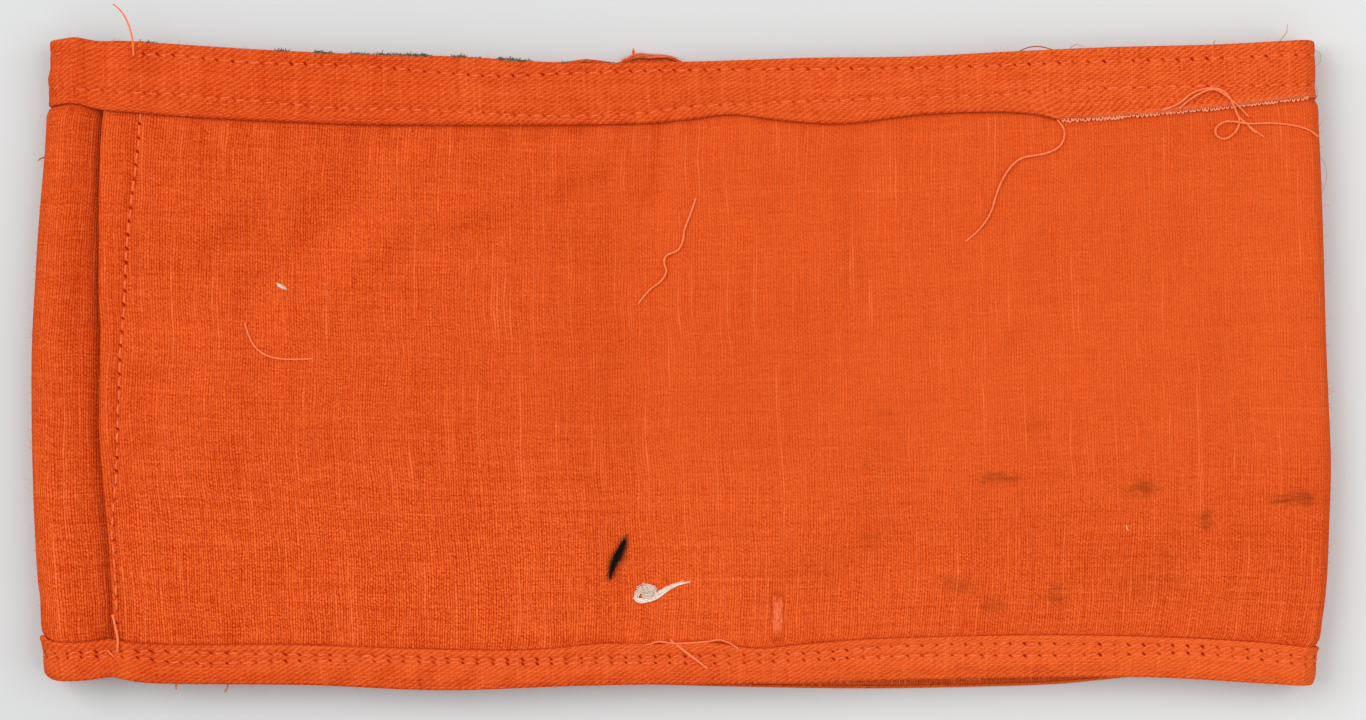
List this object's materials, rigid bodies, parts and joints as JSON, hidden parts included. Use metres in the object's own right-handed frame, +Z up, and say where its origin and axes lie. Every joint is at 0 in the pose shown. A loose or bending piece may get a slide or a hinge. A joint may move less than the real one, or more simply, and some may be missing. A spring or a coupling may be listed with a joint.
{
  "type": "armband",
  "caption": "Plain cloth armband lying flat: a closed loop of twill, hemmed and stitched along both edges, with a lapped join at one end.",
  "frame": {"origin": "under the middle of the armband, on the surface that it lies on", "axes": "+X along the flattened loop, away from the lapped join; +Y across the band, along the arm, towards the wider hem; +Z up from the far layer to the near one"},
  "size_m": [0.204, 0.1023, 0.0093],
  "materials": {
    "body_twill": "orange cotton twill, wrong side out, matte",
    "hem_twill": "orange cotton twill, right side out, matte",
    "sewing_thread": "light orange cotton thread, slight sheen",
    "lint": "loose fibres, matte"
  },
  "bodies": {
    "root": {"band": "body_twill", "join_lap": "body_twill", "top_hem": "hem_twill", "bottom_hem": "hem_twill"}
  },
  "joints": []
}
